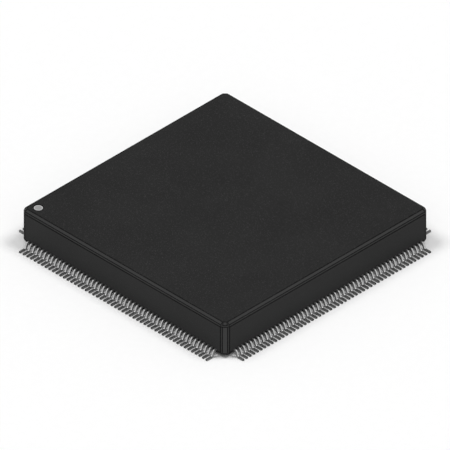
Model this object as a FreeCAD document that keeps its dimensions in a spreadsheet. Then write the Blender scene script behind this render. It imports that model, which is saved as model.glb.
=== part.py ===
import FreeCAD, Part
import math
import os
from enum import IntEnum, auto

import Sketcher
from FreeCAD import Placement, Rotation, Vector

# A quad flat pack chip: a square moulded body with a row of formed leads out of each of its four
# sides. Inside it are the paddle with its tie bars, the adhesive and the silicon die.
# Millimetres, +Z up. The origin is the centre of the seating plane, on which the feet stand.
# The front row leaves the -Y side. Its first lead is at the -X end, beside the round mark, and
# the count goes on from there round the +X, +Y and -X sides.

# Every driving dimension: its name, its value, and what it is.
DIMENSIONS = [
    ("body_side", 28.0, "side of the square moulded body"),
    ("body_thick", 3.85, "height of the moulded body"),
    ("stand_off", 0.25, "gap under the moulded body"),
    ("corner_cut", 0.50, "leg of the flat across each corner of the body"),
    ("corner_ease", 0.11, "leg of the small flats beside each corner flat"),
    ("top_bevel", 0.31, "leg of the bevel round the top face"),
    ("base_bevel", 0.24, "leg of the bevel round the underside"),
    ("bevel_ease", 0.11, "leg of the steep flat between a bevel and the sides"),
    ("mark_wide", 1.0, "diameter of the mark beside the first lead"),
    ("mark_inset", 1.25, "centre of the mark, from both sides of the body"),
    ("mark_recess", 0.10, "depth of the moulded dimple that holds the mark"),
    ("mark_thick", 0.08, "thickness of the mark's filling"),
    ("lead_pitch", 0.50, "spacing of the leads along a row"),
    ("row_margin", 1.25, "from the body's corner to the middle of a row's end lead, at least"),
    ("lead_wide", 0.20, "width of a lead"),
    ("lead_thick", 0.20, "thickness of the lead frame's sheet"),
    ("lead_exit", 0.60, "height of a lead's underside where it leaves the body"),
    ("shoulder", 0.12, "straight run of a lead before its upper bend"),
    ("bend_radius", 0.13, "inside radius of both bends of a lead"),
    ("shank_lean", 20, "lean of a lead's shank from upright, in degrees"),
    ("foot_run", 0.64, "flat underside of a lead's foot"),
    ("finger_wide", 0.10, "width of a finger at its inner end"),
    ("finger_gap", 0.60, "gap between the fingers' inner ends and the paddle"),
    ("paddle_side", 11.0, "side of the paddle"),
    ("tie_wide", 0.50, "width of a tie bar"),
    ("tie_cover", 0.50, "moulding between a tie bar's end and the corner flat"),
    ("tie_gap", 0.35, "gap between a tie bar and the nearest finger's inner end"),
    ("die_side", 8.0, "side of the die"),
    ("die_thick", 0.35, "thickness of the die"),
    ("attach_spread", 0.15, "adhesive that shows round the die"),
    ("attach_thick", 0.05, "thickness of the adhesive"),
]

# Each row of leads, with its quarter turns from the front.
ROWS = (
    ("lead_row_front", 0),
    ("lead_row_right", 1),
    ("lead_row_back", 2),
    ("lead_row_left", 3),
)
QUARTER_TURN = 90
HALF_TURN = 180
UPRIGHT = Vector(0, 0, 1)

# How close two heights are that count as one level.
LEVEL = 1e-4


class Spot(IntEnum):
    """How a sketch's constraints number the two ends and the centre of what is drawn."""

    START = auto()
    END = auto()
    CENTRE = auto()


# How they number a sketch's origin, which is a point of its horizontal axis, and that axis.
ORIGIN = (-1, Spot.START)
HORIZONTAL_AXIS = ORIGIN[0]

# Added before a count is rounded down, so that a whole number stays what it is.
COUNT_SLACK = "0.01"

# What several pieces share, as expressions on the sheet: the level of the body's top face and of
# the lead frame's, the slope of a bend's flat, the room for a row of leads along a side, and the
# number of steps from lead to lead that fit in it.
BODY_TOP = "sizes.stand_off + sizes.body_thick"
FRAME_TOP = "sizes.lead_exit + sizes.lead_thick"
BEND_SLOPE = f"({QUARTER_TURN} - sizes.shank_lean) / 2"
ROW_ROOM = "(sizes.body_side - 2 * sizes.row_margin)"
STEPS_PER_SIDE = f"floor({ROW_ROOM} / sizes.lead_pitch + {COUNT_SLACK})"

doc = FreeCAD.newDocument("quad_flat_pack")


def add_sheet():
    """Puts the driving dimensions in a sheet, each under its own name."""
    page = doc.addObject("Spreadsheet::Sheet", "sizes")
    for row, (name, value, note) in enumerate(DIMENSIONS, start=1):
        page.set("A%d" % row, note)
        page.set("B%d" % row, str(value))
        page.setAlias("B%d" % row, name)
    doc.recompute()
    return page


sheet = add_sheet()


def value(expression):
    """Works out an expression on the driving dimensions."""
    return float(sheet.evalExpression(expression))


def size(name):
    """Reads one driving dimension."""
    return value("sizes." + name)


def add_body(label):
    """Starts a sub-part that is made of sketched features."""
    body = doc.addObject("PartDesign::Body", label)
    body.Label = label
    return body


def origin_feature(body, role):
    """Finds one of a body's own planes or axes."""
    return next(item for item in body.Origin.OriginFeatures if item.Role == role)


def add_sketch(body, name, role, offset, turn=0):
    """Attaches a sketch to one of the body's planes, moved along its normal and turned in it."""
    sketch = body.newObject("Sketcher::SketchObject", name)
    sketch.AttachmentSupport = [(origin_feature(body, role), "")]
    sketch.MapMode = "FlatFace"
    sketch.AttachmentOffset = Placement(Vector(), Rotation(UPRIGHT, turn))
    sketch.setExpression("AttachmentOffset.Base.z", offset)
    return sketch


def drive(sketch, name, expression, kind, *where):
    """Adds a dimension to a sketch and binds it to the sheet."""
    amount = value(expression)
    if kind == "Angle":
        amount = math.radians(amount)
    index = sketch.addConstraint(Sketcher.Constraint(kind, *where, amount))
    sketch.renameConstraint(index, name)
    sketch.setExpression("Constraints." + name, expression)


def add_outline(sketch, points):
    """Draws the closed outline through the points, whose line number n starts at point n."""
    for start, end in zip(points, points[1:] + points[:1]):
        sketch.addGeometry(Part.LineSegment(Vector(*start, 0), Vector(*end, 0)))
    for line in range(len(points)):
        ends = (line, Spot.END, (line + 1) % len(points), Spot.START)
        sketch.addConstraint(Sketcher.Constraint("Coincident", *ends))


def add_rectangle(sketch, length, width):
    """Draws a rectangle about the sketch's origin, its two sides given as expressions."""
    half_length = value(length) / 2
    half_width = value(width) / 2
    add_outline(sketch, [
        (-half_length, -half_width),
        (half_length, -half_width),
        (half_length, half_width),
        (-half_length, half_width),
    ])
    for line, kind in enumerate(("Horizontal", "Vertical", "Horizontal", "Vertical")):
        sketch.addConstraint(Sketcher.Constraint(kind, line))
    sketch.addConstraint(Sketcher.Constraint("Symmetric", 0, Spot.START, 2, Spot.START, *ORIGIN))
    drive(sketch, "length", length, "DistanceX", 0, Spot.START, 0, Spot.END)
    drive(sketch, "width", width, "DistanceY", 1, Spot.START, 1, Spot.END)


def add_mark_circle(sketch):
    """Draws the mark's circle, in from the corner of the body beside the first lead."""
    inset = "sizes.body_side / 2 - sizes.mark_inset"
    place = -value(inset)
    sketch.addGeometry(Part.Circle(Vector(place, place, 0), UPRIGHT, size("mark_wide") / 2))
    drive(sketch, "from_left", inset, "DistanceX", 0, Spot.CENTRE, *ORIGIN)
    drive(sketch, "from_front", inset, "DistanceY", 0, Spot.CENTRE, *ORIGIN)
    drive(sketch, "across", "sizes.mark_wide", "Diameter", 0)


def add_pad(body, sketch, name, length, symmetric=False):
    """Raises a sketch into a solid, its length given as an expression."""
    pad = body.newObject("PartDesign::Pad", name)
    pad.Profile = sketch
    pad.SideType = "Symmetric" if symmetric else "One side"
    pad.setExpression("Length", length)
    return pad


def add_chamfer(body, base, name, leg, wanted):
    """Cuts a flat of equal legs along each edge of the base feature that is wanted."""
    doc.recompute()
    chosen = []
    for number, edge in enumerate(base.Shape.Edges, start=1):
        if wanted([vertex.Point for vertex in edge.Vertexes]):
            chosen.append("Edge%d" % number)
    chamfer = body.newObject("PartDesign::Chamfer", name)
    chamfer.Base = (base, chosen)
    chamfer.setExpression("Size", leg)
    return chamfer


def upright(ends):
    """Is the edge one of the body's vertical ones?"""
    return abs(ends[0].z - ends[1].z) > size("body_thick") / 2


def at_height(height):
    """Makes the test for an edge that lies all at one height."""
    def wanted(ends):
        return all(abs(end.z - height) < LEVEL for end in ends)
    return wanted


def add_moulding():
    """Moulds the body as one square block with its corners, bevels and dimple."""
    body = add_body("moulding")
    plan = add_sketch(body, "plan", "XY_Plane", "sizes.stand_off")
    add_rectangle(plan, "sizes.body_side", "sizes.body_side")
    block = add_pad(body, plan, "block", "sizes.body_thick")
    corners = add_chamfer(body, block, "corners", "sizes.corner_cut", upright)
    eased = add_chamfer(body, corners, "eased_corners", "sizes.corner_ease", upright)

    base = size("stand_off")
    top = base + size("body_thick")
    upper = add_chamfer(body, eased, "upper_bevel", "sizes.top_bevel", at_height(top))
    bevel_foot = at_height(top - size("top_bevel"))
    upper_eased = add_chamfer(body, upper, "eased_upper", "sizes.bevel_ease", bevel_foot)
    lower = add_chamfer(body, upper_eased, "lower_bevel", "sizes.base_bevel", at_height(base))
    bevel_head = at_height(base + size("base_bevel"))
    lower_eased = add_chamfer(body, lower, "eased_lower", "sizes.bevel_ease", bevel_head)

    ring = add_sketch(body, "dimple_ring", "XY_Plane", BODY_TOP)
    add_mark_circle(ring)
    dimple = body.newObject("PartDesign::Pocket", "dimple")
    dimple.Profile = ring
    dimple.setExpression("Length", "sizes.mark_recess")
    doc.recompute()
    if dimple.Shape.Volume >= lower_eased.Shape.Volume:
        raise RuntimeError("the dimple cuts nothing")
    return body


def add_mark():
    """Fills the dimple beside the first lead, to just under the body's top face."""
    body = add_body("pin_one_mark")
    ring = add_sketch(body, "ring", "XY_Plane", BODY_TOP + " - sizes.mark_recess")
    add_mark_circle(ring)
    add_pad(body, ring, "filling", "sizes.mark_thick")
    return body


def gull_wing_points():
    """Works out the side view of a lead, outwards along its top and back along its underside."""
    thick = size("lead_thick")
    inside = size("bend_radius")
    outside = inside + thick
    turn = math.radians(QUARTER_TURN - size("shank_lean"))
    face = size("body_side") / 2
    knee = Vector(face + size("shoulder"), size("lead_exit") - inside, 0)
    drop = knee.y - outside
    middle = inside + thick / 2
    shank = (drop + 2 * middle * math.cos(turn)) / math.sin(turn)
    heel = Vector(knee.x + 2 * middle * math.sin(turn) + shank * math.cos(turn), outside, 0)
    tip = heel.x + size("foot_run")
    aside = Vector(math.sin(turn), math.cos(turn), 0)
    above = Vector(0, 1, 0)
    points = [
        Vector(face, size("lead_exit") + thick, 0),
        knee + above * outside,
        knee + aside * outside,
        heel - aside * inside,
        heel - above * inside,
        Vector(tip, thick, 0),
        Vector(tip, 0, 0),
        heel - above * outside,
        heel - aside * outside,
        knee + aside * inside,
        knee + above * inside,
        Vector(face, size("lead_exit"), 0),
    ]
    return [(-point.x, point.y) for point in points]


def add_gull_wings():
    """Forms the front row's leads outside the body: one bent strip, repeated along the row."""
    body = add_body("gull_wings")
    body.AllowCompound = True
    span = STEPS_PER_SIDE + " * sizes.lead_pitch"
    profile = add_sketch(body, "gull_wing", "YZ_Plane", f"-{span} / 2")
    add_outline(profile, gull_wing_points())

    # The twelve lines of the outline, in the order of its points.
    shoulder_top, knee_top, shank_top, heel_top, foot_top, tip = range(6)
    sole, heel_under, shank_under, knee_under, shoulder_under, root = range(6, 12)
    for line in (shoulder_top, foot_top, sole, shoulder_under):
        profile.addConstraint(Sketcher.Constraint("Horizontal", line))
    for line in (tip, root):
        profile.addConstraint(Sketcher.Constraint("Vertical", line))
    profile.addConstraint(Sketcher.Constraint("Parallel", shank_top, shank_under))
    for line in (heel_top, heel_under, knee_under):
        profile.addConstraint(Sketcher.Constraint("Parallel", knee_top, line))
    profile.addConstraint(Sketcher.Constraint("Equal", shoulder_top, shoulder_under))
    on_axis = (sole, Spot.START, HORIZONTAL_AXIS)
    profile.addConstraint(Sketcher.Constraint("PointOnObject", *on_axis))

    drive(profile, "shank_slope", f"-{QUARTER_TURN} - sizes.shank_lean", "Angle", shank_top)
    drive(profile, "bend_slope", f"{BEND_SLOPE} - {HALF_TURN}", "Angle", knee_top)
    inner_bend = f"2 * sizes.bend_radius * sin({BEND_SLOPE})"
    outer_bend = f"2 * (sizes.bend_radius + sizes.lead_thick) * sin({BEND_SLOPE})"
    drive(profile, "knee_outside", outer_bend, "Distance", knee_top)
    drive(profile, "knee_inside", inner_bend, "Distance", knee_under)
    drive(profile, "heel_outside", outer_bend, "Distance", heel_under)
    drive(profile, "heel_inside", inner_bend, "Distance", heel_top)
    drive(profile, "shoulder_run", "sizes.shoulder", "Distance", shoulder_top)
    drive(profile, "root_thick", "sizes.lead_thick", "Distance", root)
    drive(profile, "tip_thick", "sizes.lead_thick", "Distance", tip)
    drive(profile, "face", "sizes.body_side / 2", "DistanceX", root, Spot.START, *ORIGIN)
    drive(profile, "exit_height", "sizes.lead_exit", "DistanceY", *ORIGIN, root, Spot.START)
    drive(profile, "foot_run", "sizes.foot_run", "Distance", sole)

    strip = add_pad(body, profile, "strip", "sizes.lead_wide", symmetric=True)
    row = body.newObject("PartDesign::LinearPattern", "row")
    row.Originals = [strip]
    row.Direction = (origin_feature(body, "X_Axis"), [""])
    row.setExpression("Length", span)
    row.setExpression("Occurrences", STEPS_PER_SIDE + " + 1")
    body.Tip = row
    return body


def add_fingers():
    """Fans the front row's inner fingers in from the body's side to a line before the paddle.

    The outermost fingers end clear of the tie bars, which run out along the diagonals.
    """
    steps = int(value(STEPS_PER_SIDE))
    outer_half = size("lead_wide") / 2
    inner_half = size("finger_wide") / 2
    outer_line = size("body_side") / 2
    inner_line = size("paddle_side") / 2 + size("finger_gap")
    tie_room = (size("tie_wide") / 2 + size("tie_gap")) * math.sqrt(2)
    inner_pitch = 2 * (inner_line - tie_room - inner_half) / steps
    level = size("lead_exit")
    fingers = []
    for number in range(steps + 1):
        outer = (number - steps / 2) * size("lead_pitch")
        inner = (number - steps / 2) * inner_pitch
        corners = [
            Vector(outer - outer_half, -outer_line, level),
            Vector(outer + outer_half, -outer_line, level),
            Vector(inner + inner_half, -inner_line, level),
            Vector(inner - inner_half, -inner_line, level),
        ]
        plan = Part.Face(Part.makePolygon(corners + corners[:1]))
        fingers.append(plan.extrude(UPRIGHT * size("lead_thick")))
    feature = doc.addObject("Part::Feature", "fingers")
    feature.Shape = Part.makeCompound(fingers)
    return feature


def join_leads(fingers):
    """Joins each formed lead to its finger."""
    leads = doc.addObject("Part::Fuse", "leads")
    leads.Base = add_gull_wings()
    leads.Tool = fingers
    leads.Refine = True
    return leads


def set_round(piece, suffix=""):
    """Sets what was made for the front row on all four sides of the body."""
    rows = []
    for label, turns in ROWS:
        row = doc.addObject("Part::Compound", label + suffix)
        row.Label = label + suffix
        row.Links = [piece]
        row.Placement = Placement(Vector(), Rotation(UPRIGHT, turns * QUARTER_TURN))
        rows.append(row)
    return rows


def add_paddle():
    """Stamps the paddle out of the lead frame's sheet, with its tie bars as two crossing bars."""
    body = add_body("die_paddle")
    plate = add_sketch(body, "plate", "XY_Plane", "sizes.lead_exit")
    add_rectangle(plate, "sizes.paddle_side", "sizes.paddle_side")
    add_pad(body, plate, "paddle", "sizes.lead_thick")

    # Each bar runs along a diagonal of the body and stops short of the two corner flats.
    across_flats = "(sizes.body_side - sizes.corner_cut) * sqrt(2)"
    bar = add_sketch(body, "bar", "XY_Plane", "sizes.lead_exit", turn=QUARTER_TURN / 2)
    add_rectangle(bar, across_flats + " - 2 * sizes.tie_cover", "sizes.tie_wide")
    tie = add_pad(body, bar, "tie_bar", "sizes.lead_thick")
    ties = body.newObject("PartDesign::PolarPattern", "tie_bars")
    ties.Originals = [tie]
    ties.Axis = (origin_feature(body, "Z_Axis"), [""])
    ties.Angle = QUARTER_TURN
    ties.Occurrences = 2
    body.Tip = ties
    return body


def add_square(label, side, base, thick):
    """Makes a square slab about the upright axis, all its sizes given as expressions."""
    body = add_body(label)
    plan = add_sketch(body, label + "_plan", "XY_Plane", base)
    add_rectangle(plan, side, side)
    add_pad(body, plan, label + "_slab", thick)
    return body


def add_die():
    """Seats the die on its adhesive, and both on the paddle."""
    spread = "sizes.die_side + 2 * sizes.attach_spread"
    attach = add_square("die_attach", spread, FRAME_TOP, "sizes.attach_thick")
    die_base = FRAME_TOP + " + sizes.attach_thick"
    die = add_square("die", "sizes.die_side", die_base, "sizes.die_thick")
    return [attach, die]


def mould_round(moulding, finger_rows, core):
    """Leaves in the moulding exactly the room of what lies inside it: the fingers and the core."""
    stack = doc.addObject("Part::MultiFuse", "stack")
    stack.Shapes = core
    inside = doc.addObject("Part::Compound", "inside")
    inside.Links = finger_rows + [stack]
    cast = doc.addObject("Part::Cut", "mould_body")
    cast.Label = "mould_body"
    cast.Base = moulding
    cast.Tool = inside
    return cast


def verify(subparts):
    """Stops if any object failed, or if a sub-part has no sound shape."""
    for item in doc.Objects:
        if "Invalid" in item.State or "Error" in item.State:
            raise RuntimeError(item.Label + " failed: " + ", ".join(item.State))
    for subpart in subparts:
        if subpart.Shape.isNull() or not subpart.Shape.isValid():
            raise RuntimeError(subpart.Label + " has no sound shape")


def export(subparts):
    """Writes each sub-part to a file of its own name."""
    os.makedirs("parts", exist_ok=True)
    for subpart in subparts:
        subpart.Shape.exportStep(os.path.join("parts", subpart.Label + ".step"))
        print(subpart.Label, "solids:", len(subpart.Shape.Solids))


fingers = add_fingers()
rows = set_round(join_leads(fingers))
core = [add_paddle()] + add_die()
mould_body = mould_round(add_moulding(), set_round(fingers, "_fingers"), core)
subparts = [mould_body, add_mark()] + rows + core
doc.recompute()
verify(subparts)
export(subparts)
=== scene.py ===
"""The looks of a quad flat pack chip: its black moulding, its plated leads and its grey mark.

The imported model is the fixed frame. New pieces are modelled on a bench in millimetres and then
brought to metres, in the frame's own place. The leads leave the four sides, the front row towards
-Y, and the mark lies beside the first lead, at the corner towards -X and -Y.
"""

import logging
import math
from collections.abc import Callable, Iterator, Sequence
from contextlib import contextmanager
from dataclasses import dataclass
from enum import Enum, IntEnum
from functools import cache
from typing import ClassVar

import bmesh
import bpy
from mathutils import Matrix, Vector


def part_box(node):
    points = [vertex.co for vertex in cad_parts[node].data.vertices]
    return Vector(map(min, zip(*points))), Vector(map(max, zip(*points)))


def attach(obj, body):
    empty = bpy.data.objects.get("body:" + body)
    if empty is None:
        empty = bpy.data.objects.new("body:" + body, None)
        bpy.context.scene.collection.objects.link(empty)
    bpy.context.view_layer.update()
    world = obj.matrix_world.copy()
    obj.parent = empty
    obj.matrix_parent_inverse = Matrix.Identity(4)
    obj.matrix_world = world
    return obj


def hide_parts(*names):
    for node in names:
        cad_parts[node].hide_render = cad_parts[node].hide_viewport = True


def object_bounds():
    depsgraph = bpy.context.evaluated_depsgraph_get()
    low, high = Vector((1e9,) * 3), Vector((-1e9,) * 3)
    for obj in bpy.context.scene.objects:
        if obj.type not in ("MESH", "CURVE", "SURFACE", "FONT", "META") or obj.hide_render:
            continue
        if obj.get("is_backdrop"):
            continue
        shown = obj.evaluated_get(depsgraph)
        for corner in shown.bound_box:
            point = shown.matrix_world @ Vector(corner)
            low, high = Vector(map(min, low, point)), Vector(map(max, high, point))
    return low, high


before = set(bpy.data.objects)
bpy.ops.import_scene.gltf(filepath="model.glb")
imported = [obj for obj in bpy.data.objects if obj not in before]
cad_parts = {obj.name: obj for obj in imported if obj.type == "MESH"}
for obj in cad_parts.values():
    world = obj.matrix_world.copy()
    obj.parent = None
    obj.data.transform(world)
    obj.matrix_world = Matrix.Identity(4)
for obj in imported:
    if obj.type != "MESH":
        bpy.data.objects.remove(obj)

log = logging.getLogger("quad_flat_pack")

MILLIMETRE = 0.001
BODY = "root"

# How close two places on the bench are that count as one, in millimetres.
CLOSE = 1e-4
# How small a share of 1 is that counts as none.
NEARLY = 0.02
# How many sides stand for a circle.
ROUND_SIDES = 48
EIGHTH_TURN = math.radians(45)
NOISE_MIDDLE = 0.5

# How a screen's greys stand for light: a straight toe, and a power curve above it.
SCREEN_WHITE = 255
TOE_END = 0.04045
TOE_SLOPE = 12.92
CURVE_SHIFT = 0.055
CURVE_POWER = 2.4

Points = list[Vector]
Span = tuple[float, float]
Given = "Signal | bpy.types.NodeSocket | float | Sequence[float] | None"


class Side(Enum):
    """The four sides of the chip, each with its quarter turns from the front."""

    FRONT = 0
    RIGHT = 1
    BACK = 2
    LEFT = 3

    @property
    def node(self) -> str:
        """The CAD node that holds this side's row of leads."""
        return f"lead_row_{self.name.lower()}"


class Pick(Enum):
    """What is picked in a mesh."""

    FACES = "faces"
    EDGES = "edges"


class Axis(IntEnum):
    """The axes of the frame, each with its place in a point."""

    X = 0
    Y = 1
    Z = 2


def grey(level: float) -> float:
    """Turns a grey as a screen shows it, 0 to 255, into the amount of light it stands for."""
    share = level / SCREEN_WHITE
    if share <= TOE_END:
        return share / TOE_SLOPE
    return ((share + CURVE_SHIFT) / (1 + CURVE_SHIFT)) ** CURVE_POWER


def tone(level: float, warmth: float = 0.0) -> tuple[float, float, float, float]:
    """Makes a colour from a screen grey.

    Args:
        level: The grey, 0 to 255.
        warmth: How far red is raised and blue lowered, as a share of the grey.

    Returns:
        The colour, with full alpha.
    """
    light = grey(level)
    return light * (1 + warmth), light, light * (1 - warmth), 1.0


class Signal:
    """A number that changes over a surface, held as the socket that gives it."""

    def __init__(self, tree: "Tree", socket: bpy.types.NodeSocket) -> None:
        """Keeps the socket and the tree that its nodes stand in."""
        self.tree = tree
        self.socket = socket

    def _math(self, operation: str, first: Given, second: Given) -> "Signal":
        """Adds one Math node.

        Args:
            operation: The node's operation.
            first: What goes into its first socket.
            second: What goes into its second socket.

        Returns:
            The result.
        """
        node = self.tree.node("ShaderNodeMath", {"operation": operation}, {0: first, 1: second})
        return Signal(self.tree, node.outputs[0])

    def __add__(self, other: Given) -> "Signal":
        """Adds a number or a signal."""
        return self._math("ADD", self, other)

    def __radd__(self, other: Given) -> "Signal":
        """Adds this signal to a number."""
        return self._math("ADD", other, self)

    def __sub__(self, other: Given) -> "Signal":
        """Takes a number or a signal away."""
        return self._math("SUBTRACT", self, other)

    def __rsub__(self, other: Given) -> "Signal":
        """Takes this signal away from a number."""
        return self._math("SUBTRACT", other, self)

    def __mul__(self, other: Given) -> "Signal":
        """Multiplies by a number or a signal."""
        return self._math("MULTIPLY", self, other)

    def __rmul__(self, other: Given) -> "Signal":
        """Multiplies a number by this signal."""
        return self._math("MULTIPLY", other, self)

    def size(self) -> "Signal":
        """Drops the sign."""
        return self._math("ABSOLUTE", self, 0.0)

    def least(self, other: Given) -> "Signal":
        """Takes the lower of the two."""
        return self._math("MINIMUM", self, other)

    def between(self, low: float, high: float) -> "Signal":
        """Rises smoothly from 0 at one value to 1 at another.

        Args:
            low: The value that gives 0.
            high: The value that gives 1.

        Returns:
            The share, kept within 0 and 1.
        """
        node = self.tree.node(
            "ShaderNodeMapRange",
            {"interpolation_type": "SMOOTHSTEP", "clamp": True},
            {"Value": self, "From Min": low, "From Max": high},
        )
        return Signal(self.tree, node.outputs["Result"])


class Tree:
    """A node tree, all its nodes added by one method."""

    def __init__(self, owner: bpy.types.Material | bpy.types.World) -> None:
        """Starts the owner's tree with no nodes."""
        owner.use_nodes = True
        self.nodes = owner.node_tree.nodes
        self.links = owner.node_tree.links
        self.nodes.clear()

    def node(
        self,
        kind: str,
        settings: dict[str, object] | None = None,
        sockets: dict[str | int, Given] | None = None,
    ) -> bpy.types.Node:
        """Adds a node, sets it up and fills its sockets.

        Args:
            kind: The node's type.
            settings: Its own settings, which are set first. "stops" are a ramp's places
                and greys.
            sockets: The value or the link that each socket takes.

        Returns:
            The node.
        """
        node = self.nodes.new(kind)
        for name, setting in (settings or {}).items():
            if name == "stops":
                self.set_stops(node.color_ramp, setting)
            else:
                setattr(node, name, setting)
        for name, given in (sockets or {}).items():
            self.fill(node.inputs[name], given)
        return node

    def set_stops(self, ramp: bpy.types.ColorRamp, stops: dict[float, float]) -> None:
        """Gives a ramp its greys, each at its place, from the lowest up."""
        while len(ramp.elements) < len(stops):
            ramp.elements.new(1.0)
        for element, (place, level) in zip(ramp.elements, stops.items()):
            element.position = place
            element.color = tone(level)

    def fill(self, socket: bpy.types.NodeSocket, given: Given) -> None:
        """Gives a socket its value, or links it to what is given."""
        if isinstance(given, Signal):
            given = given.socket
        if isinstance(given, bpy.types.NodeSocket):
            self.links.new(given, socket)
        else:
            socket.default_value = given


class Board(Tree):
    """The node tree of one finish, with its shader already joined to the output."""

    def __init__(self, name: str) -> None:
        """Starts a material with nothing but a Principled shader."""
        self.material = bpy.data.materials.new(name)
        super().__init__(self.material)
        self.shader = self.node("ShaderNodeBsdfPrincipled")
        self.node("ShaderNodeOutputMaterial", sockets={"Surface": self.shader.outputs["BSDF"]})
        self.place = self.node("ShaderNodeTexCoord").outputs["Object"]

    def noise(
        self, feature: float, detail: float, stretch: Sequence[float] | None = None
    ) -> Signal:
        """Makes an even noise about 0.5.

        Args:
            feature: The size of its features, in millimetres.
            detail: How many finer layers it has.
            stretch: How many times finer it is along each axis.

        Returns:
            The noise.
        """
        place = self.place
        if stretch is not None:
            mapping = self.node("ShaderNodeMapping", None, {"Vector": place, "Scale": stretch})
            place = mapping.outputs["Vector"]
        sockets = {"Vector": place, "Scale": 1 / (feature * MILLIMETRE), "Detail": detail}
        return Signal(self, self.node("ShaderNodeTexNoise", None, sockets).outputs["Fac"])

    def attribute(self, name: str) -> Signal:
        """Reads a number that the mesh carries on its points or its faces."""
        node = self.node("ShaderNodeAttribute", {"attribute_name": name})
        return Signal(self, node.outputs["Fac"])

    def blend(self, share: Signal, first: Given, second: Given) -> bpy.types.NodeSocket:
        """Blends two colours by a share that changes over the surface.

        Args:
            share: How much of the second colour there is, 0 to 1.
            first: The first colour.
            second: The second colour.

        Returns:
            The blended colour.
        """
        node = self.node("ShaderNodeMix", {"data_type": "RGBA"})
        self.fill(node.inputs["Factor"], share)
        colours = [socket for socket in node.inputs if socket.type == "RGBA"]
        self.fill(colours[0], first)
        self.fill(colours[1], second)
        return next(socket for socket in node.outputs if socket.type == "RGBA")

    def ramp(self, place: Signal, stops: dict[float, float]) -> bpy.types.NodeSocket:
        """Turns a number into one of a row of greys.

        Args:
            place: The number, 0 to 1.
            stops: The grey at each place, from the lowest up.

        Returns:
            The colour.
        """
        return self.node("ShaderNodeValToRGB", {"stops": stops}, {"Fac": place}).outputs["Color"]

    def relief(self, height: Signal, depth: float, strength: float) -> None:
        """Gives the surface a relief.

        Args:
            height: The height, 0 to 1.
            depth: How deep the relief is, in millimetres.
            strength: How much of it shows.
        """
        sockets = {"Height": height, "Distance": depth * MILLIMETRE, "Strength": strength}
        bump = self.node("ShaderNodeBump", None, sockets)
        self.fill(self.shader.inputs["Normal"], bump.outputs["Normal"])

    def dress(self, **sockets: Given) -> bpy.types.Material:
        """Fills the shader's sockets, an underscore for each space, and gives the material."""
        for name, given in sockets.items():
            self.fill(self.shader.inputs[name.replace("_", " ")], given)
        return self.material


@dataclass(frozen=True)
class Finish:
    """A finish, with the record's material slot that it belongs to."""

    slot: ClassVar[str]

    def material(self) -> bpy.types.Material:
        """Builds the material."""
        raise NotImplementedError


@dataclass(frozen=True)
class MouldCompound(Finish):
    """Black epoxy filled with fine silica, with the dull grain of a spark-cut mould.

    The bevels, corner flats and small flats carry a painted highlight, paler than the faces, and
    the top face is painted darker than the sides to even out the lamps. The fine bevels and the
    faces' thin rims carry painted shade, as dark lines. Levels are screen greys, and the sizes of
    features are in millimetres.
    """

    slot = "mould_compound"
    # Painted light: the top is painted darker than the sides so that both render alike under the
    # lamps, and the bevels, corner flats and small flats are painted paler as a highlight.
    top_level: float = 34.0
    bevel_highlight_level: float = 54.0
    side_level: float = 47.0
    corner_highlight_level: float = 65.5
    ease_highlight_level: float = 54.0
    ease_turn: float = 0.5
    shade_line_level: float = 10.0
    turn_blur: float = 0.05
    cloud: float = 5.0
    cloud_span: Span = (0.3, 0.7)
    cloud_share: float = 0.06
    speck: float = 0.07
    speck_span: Span = (0.66, 0.74)
    speck_share: float = 0.5
    speck_level: float = 70.0
    grain: float = 0.11
    grain_depth: float = 0.004
    roughness: float = 0.66
    roughness_spread: float = 0.12

    def material(self) -> bpy.types.Material:
        """Builds the material."""
        board = Board(self.slot)
        cloud = board.noise(self.cloud, detail=3.0)
        grain = board.noise(self.grain, detail=3.0)
        speck = board.noise(self.speck, detail=0.0).between(*self.speck_span)
        turned = board.attribute("turned")
        # Painted shade: dark lines on the fine bevels either side of each small flat.
        eased = {
            self.turn_blur: self.shade_line_level,
            self.ease_turn - self.turn_blur: self.shade_line_level,
            self.ease_turn: self.ease_highlight_level,
            self.ease_turn + self.turn_blur: self.shade_line_level,
            1 - self.turn_blur: self.shade_line_level,
        }
        # Painted highlight on the bevels and flats, picked by how far each face is turned; lying
        # and upright faces take the top's and the sides' painted tones of one compound.
        lying = board.ramp(turned, {0: self.top_level, **eased, 1: self.bevel_highlight_level})
        upright = board.ramp(turned, {0: self.side_level, **eased, 1: self.corner_highlight_level})
        faces = board.blend(board.attribute("upright"), lying, upright)
        # Painted shade: the main faces' thin rims are toned as dark lines.
        ground = board.blend(board.attribute("rim"), faces, tone(self.shade_line_level))
        pale = tone(self.speck_level)
        clouded = board.blend(cloud.between(*self.cloud_span) * self.cloud_share, ground, pale)
        board.relief(grain, self.grain_depth, strength=0.5)
        return board.dress(
            Base_Color=board.blend(speck * self.speck_share, clouded, pale),
            Roughness=self.roughness + self.roughness_spread * grain,
            Specular_IOR_Level=0.06,
        )


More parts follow.
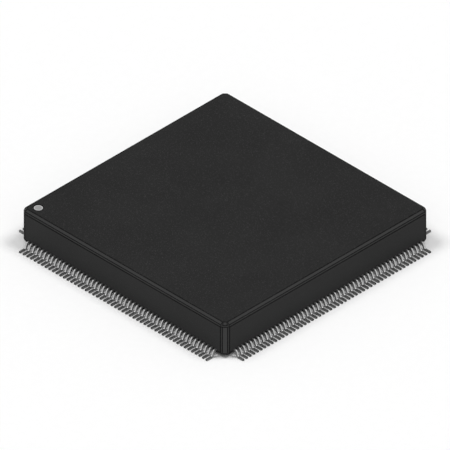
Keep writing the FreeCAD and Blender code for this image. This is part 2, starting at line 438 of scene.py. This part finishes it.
@dataclass(frozen=True)
class TinPlate(Finish):
    """Dull tin plating on the leads, burnished where they were bent and painted there with a
    highlight, its sides toned partly as painted light, and painted shade along its edges.
    """

    slot = "plated_leads"
    level: float = 96.0
    mottle: float = 8.0
    mottle_span: Span = (0.25, 0.75)
    burnish_and_highlight_level: float = 189.0
    # The sides' tones are partly the sheared finish and partly painted light: raised against the
    # shade between neighbouring leads, and paler on the shank as a painted highlight.
    side_level: float = 121.0
    burnish_and_highlight_side_level: float = 156.0
    end_level: float = 40.0
    # Painted shade along the strip's edges.
    edge_level: float = 32.0
    edge_span: Span = (0.45, 1.0)
    dull_metallic: float = 0.5
    grain: float = 0.05
    grain_depth: float = 0.002
    roughness: float = 0.5
    roughness_spread: float = 0.1
    polish: float = 0.12

    def material(self) -> bpy.types.Material:
        """Builds the material."""
        board = Board(self.slot)
        grain = board.noise(self.grain, detail=3.0)
        burnish_and_highlight = board.attribute("burnish_and_highlight")
        darker, paler = tone(self.level - self.mottle), tone(self.level + self.mottle)
        plating = board.blend(grain.between(*self.mottle_span), darker, paler)
        board.relief(grain, self.grain_depth, strength=0.4)
        # Partly real burnish, partly a painted highlight: the bends and shank are paler.
        burnished_and_highlit = board.blend(burnish_and_highlight, plating, tone(self.burnish_and_highlight_level))
        # Painted light on the sides, paler towards the shank.
        side = board.ramp(burnish_and_highlight, {0: self.side_level, 1: self.burnish_and_highlight_side_level})
        stamped = board.blend(board.attribute("stamped"), burnished_and_highlit, side)
        trimmed = board.blend(board.attribute("trimmed"), stamped, tone(self.end_level))
        # Painted shade: darker towards all four edges of the strip.
        across = board.attribute("widthwise").size()
        edge = across.least(board.attribute("through").size()).between(*self.edge_span)
        dull = self.roughness + self.roughness_spread * (grain - NOISE_MIDDLE)
        return board.dress(
            Base_Color=board.blend(edge, trimmed, tone(self.edge_level)),
            Roughness=dull - self.polish * burnish_and_highlight,
            Metallic=self.dull_metallic + (1 - self.dull_metallic) * burnish_and_highlight,
        )


@dataclass(frozen=True)
class MarkInk(Finish):
    """Light grey ink that fills the dimple, paler near its rim, with painted shade at its very
    edge beside the dimple's wall.

    Places are shares of the way out from the centre: where the middle ends, where the rim
    starts and ends, and where the edge starts.
    """

    slot = "mark_filling"
    level: float = 152.0
    rim_level: float = 190.0
    # Painted shade at the dot's very edge; the random stains reuse this dark tone.
    edge_level: float = 24.0
    places: tuple[float, float, float, float] = (0.72, 0.85, 0.92, 0.96)
    grain: float = 0.06
    grain_depth: float = 0.002
    stain_span: Span = (0.4, 0.9)
    stain_share: float = 0.15
    roughness: float = 0.5
    roughness_spread: float = 0.12

    def material(self) -> bpy.types.Material:
        """Builds the material."""
        board = Board(self.slot)
        grain = board.noise(self.grain, detail=2.0)
        levels = (self.level, self.rim_level, self.rim_level, self.edge_level)
        # The outer end of this ramp is painted shade.
        dried = board.ramp(board.attribute("outwards"), dict(zip(self.places, levels)))
        board.relief(grain, self.grain_depth, strength=0.4)
        stain = grain.between(*self.stain_span) * self.stain_share
        return board.dress(
            Base_Color=board.blend(stain, dried, tone(self.edge_level)),
            Roughness=self.roughness + self.roughness_spread * grain,
            Specular_IOR_Level=0.2,
        )


@dataclass(frozen=True)
class FrameCopper(Finish):
    """Rolled copper of the lead frame, with its fine rolling lines."""

    slot = "frame_copper"
    dark: tuple[float, ...] = (0.72, 0.34, 0.20, 1)
    bright: tuple[float, ...] = (0.86, 0.47, 0.31, 1)
    line: float = 0.4
    line_stretch: tuple[float, ...] = (1, 24, 24)
    line_depth: float = 0.002
    roughness: float = 0.28
    roughness_spread: float = 0.14

    def material(self) -> bpy.types.Material:
        """Builds the material."""
        board = Board(self.slot)
        lines = board.noise(self.line, detail=3.0, stretch=self.line_stretch)
        board.relief(lines, self.line_depth, strength=0.4)
        return board.dress(
            Base_Color=board.blend(lines, self.dark, self.bright),
            Roughness=self.roughness + self.roughness_spread * lines,
            Metallic=1.0,
        )


@dataclass(frozen=True)
class DieAdhesive(Finish):
    """Silver-filled adhesive, a grey paste with fine bright flakes."""

    slot = "die_adhesive"
    paste_level: float = 128.0
    paste: float = 0.5
    paste_depth: float = 0.01
    flake_level: float = 205.0
    flake: float = 0.05
    flake_span: Span = (0.55, 0.65)
    flake_metallic: float = 0.7
    roughness: float = 0.62
    polish: float = 0.22

    def material(self) -> bpy.types.Material:
        """Builds the material."""
        board = Board(self.slot)
        paste = board.noise(self.paste, detail=3.0)
        flake = board.noise(self.flake, detail=1.0).between(*self.flake_span)
        board.relief(paste, self.paste_depth, strength=0.5)
        return board.dress(
            Base_Color=board.blend(flake, tone(self.paste_level), tone(self.flake_level)),
            Roughness=self.roughness - self.polish * flake,
            Metallic=self.flake_metallic * flake,
        )


@dataclass(frozen=True)
class Silicon(Finish):
    """Polished silicon of the die, dark with a cold sheen."""

    slot = "silicon"
    dark_level: float = 92.0
    dark_warmth: float = -0.10
    pale_level: float = 104.0
    pale_warmth: float = -0.02
    cloud: float = 3.0
    lapping: float = 0.2
    lapping_depth: float = 0.0005
    roughness: float = 0.12
    roughness_spread: float = 0.06

    def material(self) -> bpy.types.Material:
        """Builds the material."""
        board = Board(self.slot)
        cloud = board.noise(self.cloud, detail=2.0)
        board.relief(board.noise(self.lapping, detail=1.0), self.lapping_depth, strength=0.2)
        dark = tone(self.dark_level, self.dark_warmth)
        pale = tone(self.pale_level, self.pale_warmth)
        return board.dress(
            Base_Color=board.blend(cloud, dark, pale),
            Roughness=self.roughness + self.roughness_spread * cloud,
            Metallic=0.9,
        )


@dataclass(frozen=True)
class Paper:
    """The pale floor, a plain matt paper."""

    dark_level: float = 252.0
    pale_level: float = 255.0
    fibre: float = 0.8

    def material(self) -> bpy.types.Material:
        """Builds the material."""
        board = Board("paper")
        fibre = board.noise(self.fibre, detail=3.0)
        return board.dress(
            Base_Color=board.blend(fibre, tone(self.dark_level), tone(self.pale_level)),
            Roughness=0.9,
            Specular_IOR_Level=0.0,
        )


def activate(piece: bpy.types.Object) -> None:
    """Selects one piece alone and makes it the active one."""
    bpy.ops.object.select_all(action="DESELECT")
    piece.select_set(True)
    bpy.context.view_layer.objects.active = piece


def added(name: str) -> bpy.types.Object:
    """Names the primitive that was just added, and its mesh."""
    piece = bpy.context.active_object
    piece.name = name
    piece.data.name = name
    return piece


@contextmanager
def editing(piece: bpy.types.Object) -> Iterator[None]:
    """Opens a piece in edit mode, and closes it at the end."""
    activate(piece)
    bpy.ops.object.mode_set(mode="EDIT")
    try:
        yield
    finally:
        bpy.ops.object.mode_set(mode="OBJECT")


def pick(piece: bpy.types.Object, kind: Pick, wanted: Callable[[Points], bool]) -> int:
    """Selects faces or edges of a piece that is in edit mode, by the places of their points.

    Args:
        piece: The piece.
        kind: Whether faces or edges are picked.
        wanted: Says of an element's points whether it is picked.

    Returns:
        How many were picked.
    """
    mesh = bmesh.from_edit_mesh(piece.data)
    mode = {Pick.FACES: "FACE", Pick.EDGES: "EDGE"}[kind]
    bpy.ops.mesh.select_mode(type=mode)
    bpy.ops.mesh.select_all(action="DESELECT")
    chosen = [item for item in getattr(mesh, kind.value) if wanted([v.co for v in item.verts])]
    for item in chosen:
        item.select_set(True)
    mesh.select_flush_mode()
    bmesh.update_edit_mesh(piece.data)
    return len(chosen)


def level(axis: Axis, value: float) -> Callable[[Points], bool]:
    """Makes the test for what lies all at one level.

    Args:
        axis: The axis that the level is measured along.
        value: The level.

    Returns:
        The test.
    """
    return lambda points: all(abs(point[axis] - value) < CLOSE for point in points)


def upright(points: Points) -> bool:
    """Tells whether an edge stands upright."""
    first, last = points
    return (first - last).to_2d().length < CLOSE


def carry(piece: bpy.types.Object, name: str, measure: Callable[[Vector], float]) -> None:
    """Stores a number at each point of a piece, worked out from the point's place."""
    numbers = piece.data.attributes.new(name, "FLOAT", "POINT")
    for vertex, number in zip(piece.data.vertices, numbers.data):
        number.value = measure(vertex.co)


def carry_on_faces(
    piece: bpy.types.Object, name: str, measure: Callable[[bpy.types.MeshPolygon], float]
) -> None:
    """Stores a number on each face of a piece, worked out from the face."""
    numbers = piece.data.attributes.new(name, "FLOAT", "FACE")
    for face, number in zip(piece.data.polygons, numbers.data):
        number.value = measure(face)


def modify(piece: bpy.types.Object, kind: str, **settings: object) -> None:
    """Adds a modifier to a piece, sets it and applies it."""
    activate(piece)
    modifier = piece.modifiers.new(kind.lower(), kind)
    for name, setting in settings.items():
        setattr(modifier, name, setting)
    bpy.ops.object.modifier_apply(modifier=modifier.name)


def copied(piece: bpy.types.Object, name: str) -> bpy.types.Object:
    """Copies a piece with a mesh of its own."""
    copy = piece.copy()
    copy.data = piece.data.copy()
    copy.name = name
    copy.data.name = name
    bpy.context.scene.collection.objects.link(copy)
    return copy


@cache
def material_of(finish: Finish) -> bpy.types.Material:
    """Gives a finish's material, which is built once."""
    return finish.material()


def dress(piece: bpy.types.Object, finish: Finish) -> None:
    """Gives a piece its finish."""
    piece.data.materials.clear()
    piece.data.materials.append(material_of(finish))


def hand_over(piece: bpy.types.Object, node: str, finish: Finish) -> None:
    """Brings a finished piece to metres, dresses it and puts it in the place of its CAD node.

    Args:
        piece: The piece, at the origin, in millimetres.
        node: The CAD node that it stands for.
        finish: Its finish.
    """
    piece.data.transform(Matrix.Scale(MILLIMETRE, 4))
    dress(piece, finish)
    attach(piece, BODY)
    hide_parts(node)
    log.info("%s stands for %s, %d faces", piece.name, node, len(piece.data.polygons))


@dataclass
class Leads:
    """The four rows of formed leads, each lead one strip from its finger to its foot.

    All sizes are in millimetres. The strip is bent on two arcs of one inside radius.
    """

    wall: float
    tip: float
    finish: Finish
    per_row: int = 52
    pitch: float = 0.50
    wide: float = 0.20
    thick: float = 0.20
    exit_height: float = 0.60
    shoulder: float = 0.12
    bend_radius: float = 0.13
    shank_lean: float = math.radians(20)
    finger_wide: float = 0.10
    finger_end: float = 6.10
    tie_wide: float = 0.50
    tie_gap: float = 0.35
    bend_steps: int = 3
    edge: float = 0.02
    smooth_under: float = math.radians(40)

    @property
    def finger_pitch(self) -> float:
        """The spacing of the fingers' inner ends, the outermost ones clear of the tie bars."""
        tie_room = (self.tie_wide / 2 + self.tie_gap) * math.sqrt(2)
        return 2 * (self.finger_end - tie_room - self.finger_wide / 2) / (self.per_row - 1)

    @property
    def turn(self) -> float:
        """The angle that each bend turns through."""
        return math.pi / 2 - self.shank_lean

    @property
    def knee(self) -> Vector:
        """The centre of the upper bend, as a point of the front row."""
        return Vector((0, -(self.wall + self.shoulder), self.exit_height - self.bend_radius))

    @property
    def shank(self) -> Vector:
        """The straight stretch between the two bends, along the strip."""
        middle = self.bend_radius + self.thick / 2
        drop = self.knee.z - self.bend_radius - self.thick
        length = (drop + 2 * middle * math.cos(self.turn)) / math.sin(self.turn)
        return Vector((0, -math.cos(self.turn), -math.sin(self.turn))) * length

    @property
    def heel(self) -> Vector:
        """The centre of the lower bend."""
        middle = self.bend_radius + self.thick / 2
        reach = 2 * middle * math.sin(self.turn) - self.shank.y
        return Vector((0, self.knee.y - reach, self.bend_radius + self.thick))

    def burnish_and_highlight(self, point: Vector) -> float:
        """Tells how far the forming tools have burnished the strip at a point, which is also
        where its painted highlight goes.

        It grows over the whole of the upper bend and fades over the lower half of the lower one.

        Args:
            point: The point, on the lead in the middle of the front row.

        Returns:
            The share, 0 to 1.
        """
        if point.y > self.knee.y or point.y < self.heel.y:
            return 0.0
        if point.z > self.knee.z:
            share = math.atan2(self.knee.y - point.y, point.z - self.knee.z) / self.turn
        else:
            share = 2 * math.atan2(point.y - self.heel.y, self.heel.z - point.z) / self.turn
        return min(1.0, max(0.0, share))

    def strip(self) -> bpy.types.Object:
        """Models one lead of the front row, at the middle of the row.

        Returns:
            The lead, in millimetres.
        """
        reach = -self.knee.y - self.finger_end
        bpy.ops.object.select_all(action="DESELECT")
        bpy.ops.mesh.primitive_cube_add(
            size=1,
            location=(0, -self.finger_end - reach / 2, self.exit_height + self.thick / 2),
            scale=(self.wide, reach, self.thick),
        )
        lead = added("lead")
        bpy.ops.object.transform_apply(location=True, rotation=True, scale=True)
        with editing(lead):
            bpy.ops.mesh.select_all(action="SELECT")
            bpy.ops.mesh.bisect(plane_co=(0, -self.wall, 0), plane_no=(0, 1, 0))
            pick(lead, Pick.FACES, level(Axis.Y, self.knee.y))
            self.bend(self.knee, self.turn)
            bpy.ops.mesh.extrude_region_move(TRANSFORM_OT_translate={"value": self.shank})
            self.bend(self.heel, -self.turn)
            foot = Vector((0, -(self.tip + self.heel.y), 0))
            bpy.ops.mesh.extrude_region_move(TRANSFORM_OT_translate={"value": foot})
            pick(lead, Pick.FACES, level(Axis.Y, -self.finger_end))
            bpy.ops.transform.resize(value=(self.finger_wide / self.wide, 1, 1))
            bpy.ops.mesh.select_all(action="SELECT")
            bpy.ops.mesh.normals_make_consistent(inside=False)
            pick(lead, Pick.EDGES, self.on_upper_edge)
            bpy.ops.mesh.bevel(offset=self.edge, segments=1, affect="EDGES")
        # This share marks where the strip is burnished and where its painted highlight goes.
        carry(lead, "burnish_and_highlight", self.burnish_and_highlight)
        # widthwise and through place the painted shade along the strip's edges.
        carry(lead, "widthwise", lambda point: 2 * point.x / self.wide)
        carry(lead, "through", lambda point: 2 * self.through(point) - 1)
        carry_on_faces(lead, "stamped", self.stamped)
        carry_on_faces(lead, "trimmed", self.trimmed)
        return lead

    def stamped(self, face: bpy.types.MeshPolygon) -> float:
        """Tells how far a face is a side of the strip, which the stamping tool cut, 0 to 1."""
        return abs(face.normal.x)

    def trimmed(self, face: bpy.types.MeshPolygon) -> float:
        """Tells whether a face is the foot's end, where the lead was trimmed off the frame."""
        return float(face.center.y < -self.tip + CLOSE)

    def bend(self, centre: Vector, angle: float) -> None:
        """Bends on what is selected about a line across the strip.

        Args:
            centre: A point of that line.
            angle: How far, which is downwards where it is above 0.
        """
        bpy.ops.mesh.spin(steps=self.bend_steps, angle=-angle, center=centre, axis=(1, 0, 0))

    def on_upper_edge(self, points: Points) -> bool:
        """Tells whether an edge runs along the strip's upper face, outside the body."""
        first, last = points
        outside = max(first.y, last.y) < -self.wall + CLOSE
        if abs(first.x - last.x) > CLOSE or not outside:
            return False
        return all(self.on_top(point) for point in points)

    def on_top(self, point: Vector) -> bool:
        """Tells whether a point lies on the strip's upper face."""
        return abs(self.through(point) - 1) * self.thick < CLOSE

    def through(self, point: Vector) -> float:
        """Tells how far up through the strip a point lies.

        Args:
            point: The point, on the lead in the middle of the front row.

        Returns:
            The share, 0 on the underside and 1 on the upper face.
        """
        if point.y > self.knee.y - CLOSE:
            height = point.z - self.exit_height
        elif point.y < self.heel.y + CLOSE:
            height = point.z
        elif point.z > (self.knee.z + self.heel.z) / 2:
            height = (point - self.knee).yz.length - self.bend_radius
        else:
            height = self.bend_radius + self.thick - (point - self.heel).yz.length
        return height / self.thick

    def row(self) -> bpy.types.Object:
        """Models the front row: the lead copied along the side, its fingers fanned in.

        Returns:
            The row, one mesh, in millimetres.
        """
        lead = self.strip()
        copies = []
        for number in range(self.per_row):
            step = number - (self.per_row - 1) / 2
            copy = copied(lead, f"lead_{number}")
            copy.data.transform(Matrix.Translation((step * self.pitch, 0, 0)))
            with editing(copy):
                pick(copy, Pick.FACES, level(Axis.Y, -self.finger_end))
                inwards = step * (self.finger_pitch - self.pitch)
                bpy.ops.transform.translate(value=(inwards, 0, 0))
            copies.append(copy)
        bpy.data.objects.remove(lead)
        activate(copies[0])
        for copy in copies:
            copy.select_set(True)
        bpy.ops.object.join()
        return added("leads_front")

    def build(self) -> list[bpy.types.Object]:
        """Models all four rows.

        Returns:
            The rows in the order of the sides, in millimetres.
        """
        front = self.row()
        activate(front)
        bpy.ops.object.shade_smooth_by_angle(angle=self.smooth_under)
        rows = [front]
        for side in list(Side)[1:]:
            turned = copied(front, f"leads_{side.name.lower()}")
            turned.data.transform(Matrix.Rotation(side.value * math.pi / 2, 4, "Z"))
            rows.append(turned)
        return rows

    def finish_off(self, rows: list[bpy.types.Object]) -> None:
        """Dresses the rows and puts them in the place of their CAD nodes."""
        for side, row in zip(Side, rows):
            hand_over(row, side.node, self.finish)


@dataclass
class Moulding:
    """The moulded body, a square block with cut corners, bevels, and a dimple for the mark.

    All sizes are in millimetres. The mouth's turn is the set turn that gives the dimple's
    wall painted shade.
    """

    low: Vector
    high: Vector
    finish: Finish
    corner_cut: float = 0.50
    corner_ease: float = 0.11
    top_bevel: float = 0.31
    base_bevel: float = 0.24
    bevel_ease: float = 0.11
    edge: float = 0.045
    rim: float = 0.05
    mouth_edge: float = 0.055
    mouth_shade_turn: float = 0.25
    mark_radius: float = 0.50
    mark_inset: float = 1.25
    mark_recess: float = 0.10
    smooth_under: float = math.radians(30)

    @property
    def mark_centre(self) -> Vector:
        """The middle of the dimple, at the level of the top face."""
        return Vector((self.low.x + self.mark_inset, self.low.y + self.mark_inset, self.high.z))

    def cut_edges(
        self, piece: bpy.types.Object, leg: float, wanted: Callable[[Points], bool]
    ) -> None:
        """Cuts a flat of equal legs along the edges that are wanted."""
        found = pick(piece, Pick.EDGES, wanted)
        bpy.ops.mesh.bevel(offset=leg, segments=1, affect="EDGES")
        log.debug("flat of %.2f mm on %d edges", leg, found)

    def block(self) -> bpy.types.Object:
        """Models the block with its corners and bevels.

        Returns:
            The block, in millimetres.
        """
        bpy.ops.object.select_all(action="DESELECT")
        bpy.ops.mesh.primitive_cube_add(
            size=1, location=(self.low + self.high) / 2, scale=self.high - self.low
        )
        piece = added("moulded_body")
        bpy.ops.object.transform_apply(location=True, rotation=True, scale=True)
        with editing(piece):
            self.cut_edges(piece, self.corner_cut, upright)
            self.cut_edges(piece, self.corner_ease, upright)
            self.cut_edges(piece, self.top_bevel, level(Axis.Z, self.high.z))
            self.cut_edges(piece, self.bevel_ease, level(Axis.Z, self.high.z - self.top_bevel))
            self.cut_edges(piece, self.base_bevel, level(Axis.Z, self.low.z))
            self.cut_edges(piece, self.bevel_ease, level(Axis.Z, self.low.z + self.base_bevel))
            bpy.ops.mesh.select_all(action="SELECT")
            bpy.ops.mesh.bevel(offset=self.edge, segments=2, affect="EDGES")
            # Thin rims are inset round the main faces to carry painted shade lines.
            pick(piece, Pick.FACES, self.on_main_face)
            bpy.ops.mesh.inset(thickness=self.rim, use_individual=True)
        carry_on_faces(piece, "rim", self.rimness)
        return piece

    def cut(self, piece: bpy.types.Object, tool: bpy.types.Object) -> None:
        """Takes a tool's room out of the block."""
        modify(piece, "BOOLEAN", operation="DIFFERENCE", solver="EXACT", object=tool)

    def build(self, inside: list[bpy.types.Object]) -> bpy.types.Object:
        """Models the moulding, with its dimple and the room of what lies inside it.

        Args:
            inside: The pieces that it is moulded round, in millimetres.

        Returns:
            The moulding, in millimetres.
        """
        piece = self.block()
        bpy.ops.object.select_all(action="DESELECT")
        bpy.ops.mesh.primitive_cylinder_add(
            vertices=ROUND_SIDES,
            radius=self.mark_radius,
            depth=2 * self.mark_recess,
            location=self.mark_centre,
        )
        dimple = added("dimple")
        bpy.ops.object.transform_apply(location=True, rotation=True, scale=True)
        for tool in [dimple, *inside]:
            self.cut(piece, tool)
        bpy.data.objects.remove(dimple)
        with editing(piece):
            bpy.ops.mesh.select_all(action="SELECT")
            bpy.ops.mesh.remove_doubles(threshold=CLOSE)
            bpy.ops.mesh.dissolve_degenerate(threshold=CLOSE)
            self.cut_edges(piece, self.mouth_edge, self.on_mouth)
        activate(piece)
        bpy.ops.object.shade_smooth_by_angle(angle=self.smooth_under)
        modify(piece, "WEIGHTED_NORMAL", keep_sharp=True)
        carry_on_faces(piece, "upright", self.uprightness)
        carry_on_faces(piece, "turned", self.turned)
        return piece

    def from_mark(self, point: Vector) -> float:
        """Measures how far a point is from the dimple's axis."""
        return (point - self.mark_centre).to_2d().length

    def on_mouth(self, points: Points) -> bool:
        """Tells whether an edge goes round the dimple's mouth."""
        return all(
            abs(point.z - self.high.z) < CLOSE
            and abs(self.from_mark(point) - self.mark_radius) < CLOSE
            for point in points
        )

    def on_main_face(self, points: Points) -> bool:
        """Tells whether a face lies in one of the block's six main planes."""
        return any(
            all(abs(point[axis] - end[axis]) < CLOSE for point in points)
            for axis in Axis
            for end in (self.low, self.high)
        )

    def rimness(self, face: bpy.types.MeshPolygon) -> float:
        """Tells whether a face is part of a main face's thin rim, 0 or 1."""
        narrow = face.area < self.rim * (self.high.x - self.low.x)
        return float(narrow and max(abs(part) for part in face.normal) > 1 - CLOSE)

    def uprightness(self, face: bpy.types.MeshPolygon) -> float:
        """Tells how far a face stands upright, 0 to 1."""
        return 1 - abs(face.normal.z)

    def turned(self, face: bpy.types.MeshPolygon) -> float:
        """Tells how far a face is turned from the block's six main ones, 1 at 45 degrees.

        Where it is turned two ways, the turn that isn't complete counts, so that the painted
        highlight on the small flats and the painted shade on the fine bevels carry across the
        corners too.

        Args:
            face: The face.

        Returns:
            The turn, as a share of 45 degrees.
        """
        # Painted shade: the dimple's faces take a set turn, which the compound's ramp paints
        # dark.
        if self.from_mark(face.center) < self.mark_radius + self.mouth_edge:
            return self.mouth_shade_turn
        across, along = sorted(abs(part) for part in face.normal.xy)
        rise, reach = abs(face.normal.z), math.hypot(across, along)
        if reach < NEARLY:
            return 0.0
        swing = math.atan2(across, along) / EIGHTH_TURN
        tilt = math.atan2(min(reach, rise), max(reach, rise)) / EIGHTH_TURN
        partial = [turn for turn in (swing, tilt) if NEARLY < turn < 1 - NEARLY]
        return min(partial, default=max(swing, tilt))

    def finish_off(self, piece: bpy.types.Object) -> None:
        """Dresses the moulding and puts it in the place of its CAD node."""
        hand_over(piece, "mould_body", self.finish)


@dataclass
class Mark:
    """The ink dot beside the first lead, dished where it dried, with a rounded rim.

    All sizes are in millimetres.
    """

    centre: Vector
    recess: float
    finish: Finish
    radius: float = 0.465
    thick: float = 0.08
    rim: float = 0.09
    dish: float = 0.012
    edge: float = 0.02
    smooth_under: float = math.radians(40)

    def build(self) -> bpy.types.Object:
        """Models the dot.

        Returns:
            The dot, in millimetres.
        """
        base = self.centre.z - self.recess
        top = base + self.thick
        bpy.ops.object.select_all(action="DESELECT")
        bpy.ops.mesh.primitive_cylinder_add(
            vertices=ROUND_SIDES,
            radius=self.radius,
            depth=self.thick,
            location=(self.centre.x, self.centre.y, base + self.thick / 2),
        )
        piece = added("pin_one_dot")
        bpy.ops.object.transform_apply(location=True, rotation=True, scale=True)
        with editing(piece):
            pick(piece, Pick.FACES, level(Axis.Z, top))
            bpy.ops.mesh.inset(thickness=self.rim)
            bpy.ops.mesh.inset(thickness=self.rim)
            bpy.ops.transform.translate(value=(0, 0, -self.dish))
            bpy.ops.mesh.inset(thickness=2 * self.rim)
            bpy.ops.mesh.poke()
            pick(piece, Pick.EDGES, self.on_rim)
            bpy.ops.mesh.bevel(offset=self.edge, segments=3, affect="EDGES")
        carry(piece, "outwards", lambda point: self.from_centre(point) / self.radius)
        activate(piece)
        bpy.ops.object.shade_smooth_by_angle(angle=self.smooth_under)
        return piece

    def from_centre(self, point: Vector) -> float:
        """Measures how far a point is from the dot's axis."""
        return (point - self.centre).to_2d().length

    def on_rim(self, points: Points) -> bool:
        """Tells whether an edge goes round the dot's outer top."""
        top = self.centre.z - self.recess + self.thick
        return all(
            abs(point.z - top) < CLOSE and self.from_centre(point) > self.radius - self.edge
            for point in points
        )

    def finish_off(self, piece: bpy.types.Object) -> None:
        """Dresses the dot and puts it in the place of its CAD node."""
        hand_over(piece, "pin_one_mark", self.finish)


@dataclass
class Core:
    """The die on its adhesive and its paddle, whose CAD nodes have the right shape."""

    finishes: dict[str, Finish]

    def moulds(self) -> list[bpy.types.Object]:
        """Copies the nodes at the bench's size, to take their room out of the moulding.

        Returns:
            The copies, in millimetres.
        """
        copies = []
        for node in self.finishes:
            copy = bpy.data.objects.new(f"{node}_room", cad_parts[node].data.copy())
            bpy.context.scene.collection.objects.link(copy)
            copy.data.transform(Matrix.Scale(1 / MILLIMETRE, 4))
            with editing(copy):
                bpy.ops.mesh.select_all(action="SELECT")
                bpy.ops.mesh.remove_doubles(threshold=CLOSE)
            copies.append(copy)
        return copies

    def finish_off(self) -> None:
        """Dresses the CAD nodes."""
        for node, finish in self.finishes.items():
            dress(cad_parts[node], finish)
            log.info("%s keeps its shape", node)


@dataclass
class Studio:
    """A pale floor, plain soft light, and the camera at the photograph's angle.

    All lengths are in metres.
    """

    target: Vector
    azimuth: float = math.radians(45)
    elevation: float = math.atan(math.sqrt(0.5))
    distance: float = 0.1
    frame_width: float = 0.04347
    floor_side: float = 2.0
    head_light: float = 0.45
    head_elevation: float = math.radians(45)
    head_softness: float = math.radians(60)
    side_light: float = 1.16
    side_swing: float = math.radians(90)
    side_elevation: float = math.radians(62)
    side_softness: float = math.radians(24)
    sky_light: float = 0.26

    def add(
        self, name: str, data: bpy.types.ID, azimuth: float, elevation: float
    ) -> bpy.types.Object:
        """Puts a lamp or a camera some way off, aimed at the object.

        Args:
            name: Its name.
            data: The lamp or the camera.
            azimuth: How far round from the front it stands, as an angle.
            elevation: How high it stands, as an angle.

        Returns:
            What was added.
        """
        item = bpy.data.objects.new(name, data)
        flat = math.cos(elevation)
        back = Vector((math.sin(azimuth) * flat, -math.cos(azimuth) * flat, math.sin(elevation)))
        item.location = self.target + back * self.distance
        item.rotation_mode = "QUATERNION"
        item.rotation_quaternion = (-back).to_track_quat("-Z", "Y")
        bpy.context.scene.collection.objects.link(item)
        return item

    def set_camera(self) -> None:
        """Sets up the camera."""
        data = bpy.data.cameras.new("camera")
        data.type = "ORTHO"
        data.ortho_scale = self.frame_width
        data.clip_start = MILLIMETRE
        data.clip_end = 2 * self.floor_side
        camera = self.add("camera", data, self.azimuth, self.elevation)
        bpy.context.scene.camera = camera

    def set_lamp(
        self, name: str, swing: float, elevation: float, strength: float, softness: float
    ) -> None:
        """Sets up one far lamp.

        Args:
            name: Its name.
            swing: How far round from the camera it stands, as an angle.
            elevation: How high it stands, as an angle.
            strength: How strong it is.
            softness: How wide it looks from the object, as an angle.
        """
        lamp = bpy.data.lights.new(name, "SUN")
        lamp.energy = strength
        lamp.angle = softness
        self.add(name, lamp, self.azimuth + swing, elevation)

    def set_lamps(self) -> None:
        """Sets up the lamp over the camera and the two at the sides."""
        self.set_lamp("head", 0, self.head_elevation, self.head_light, self.head_softness)
        for name, swing in (("left", -self.side_swing), ("right", self.side_swing)):
            self.set_lamp(name, swing, self.side_elevation, self.side_light, self.side_softness)

    def set_sky(self) -> None:
        """Sets up the sky: white where it is seen or mirrored, and a weak even light."""
        world = bpy.data.worlds.new("sky")
        sky = Tree(world)
        rays = sky.node("ShaderNodeLightPath").outputs
        seen = Signal(sky, rays["Is Camera Ray"])
        for kind in ("Is Glossy Ray", "Is Transmission Ray"):
            seen = seen + rays[kind]
        strength = self.sky_light + (1 - self.sky_light) * seen.between(0, 1)
        sockets = {"Color": tone(SCREEN_WHITE), "Strength": strength}
        light = sky.node("ShaderNodeBackground", None, sockets).outputs["Background"]
        sky.node("ShaderNodeOutputWorld", None, {"Surface": light})
        bpy.context.scene.world = world

    def set_floor(self) -> None:
        """Lays the floor at the level of the feet."""
        bpy.ops.object.select_all(action="DESELECT")
        bpy.ops.mesh.primitive_plane_add(size=self.floor_side)
        floor = added("floor")
        floor.data.materials.append(Paper().material())
        floor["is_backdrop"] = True

    def build(self) -> None:
        """Sets up the whole studio."""
        self.set_camera()
        self.set_lamps()
        self.set_sky()
        self.set_floor()
        bpy.context.scene.view_settings.view_transform = "Standard"


def main() -> None:
    """Builds the chip's pieces in order, then the studio."""
    cad_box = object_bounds()
    low, high = (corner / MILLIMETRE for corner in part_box("mould_body"))
    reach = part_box(Side.FRONT.node)[0] / MILLIMETRE

    leads = Leads(wall=-low.y, tip=-reach.y, finish=TinPlate())
    rows = leads.build()
    core = Core({
        "die_paddle": FrameCopper(),
        "die_attach": DieAdhesive(),
        "die": Silicon(),
    })
    moulding = Moulding(low, high, MouldCompound())
    room = core.moulds()
    body = moulding.build([*rows, *room])
    for tool in room:
        bpy.data.objects.remove(tool)
    mark = Mark(moulding.mark_centre, moulding.mark_recess, MarkInk())
    dot = mark.build()

    moulding.finish_off(body)
    leads.finish_off(rows)
    mark.finish_off(dot)
    core.finish_off()
    Studio(target=(cad_box[0] + cad_box[1]) / 2).build()


if __name__ == "__main__":
    logging.basicConfig(level=logging.INFO, format="%(message)s")
    main()
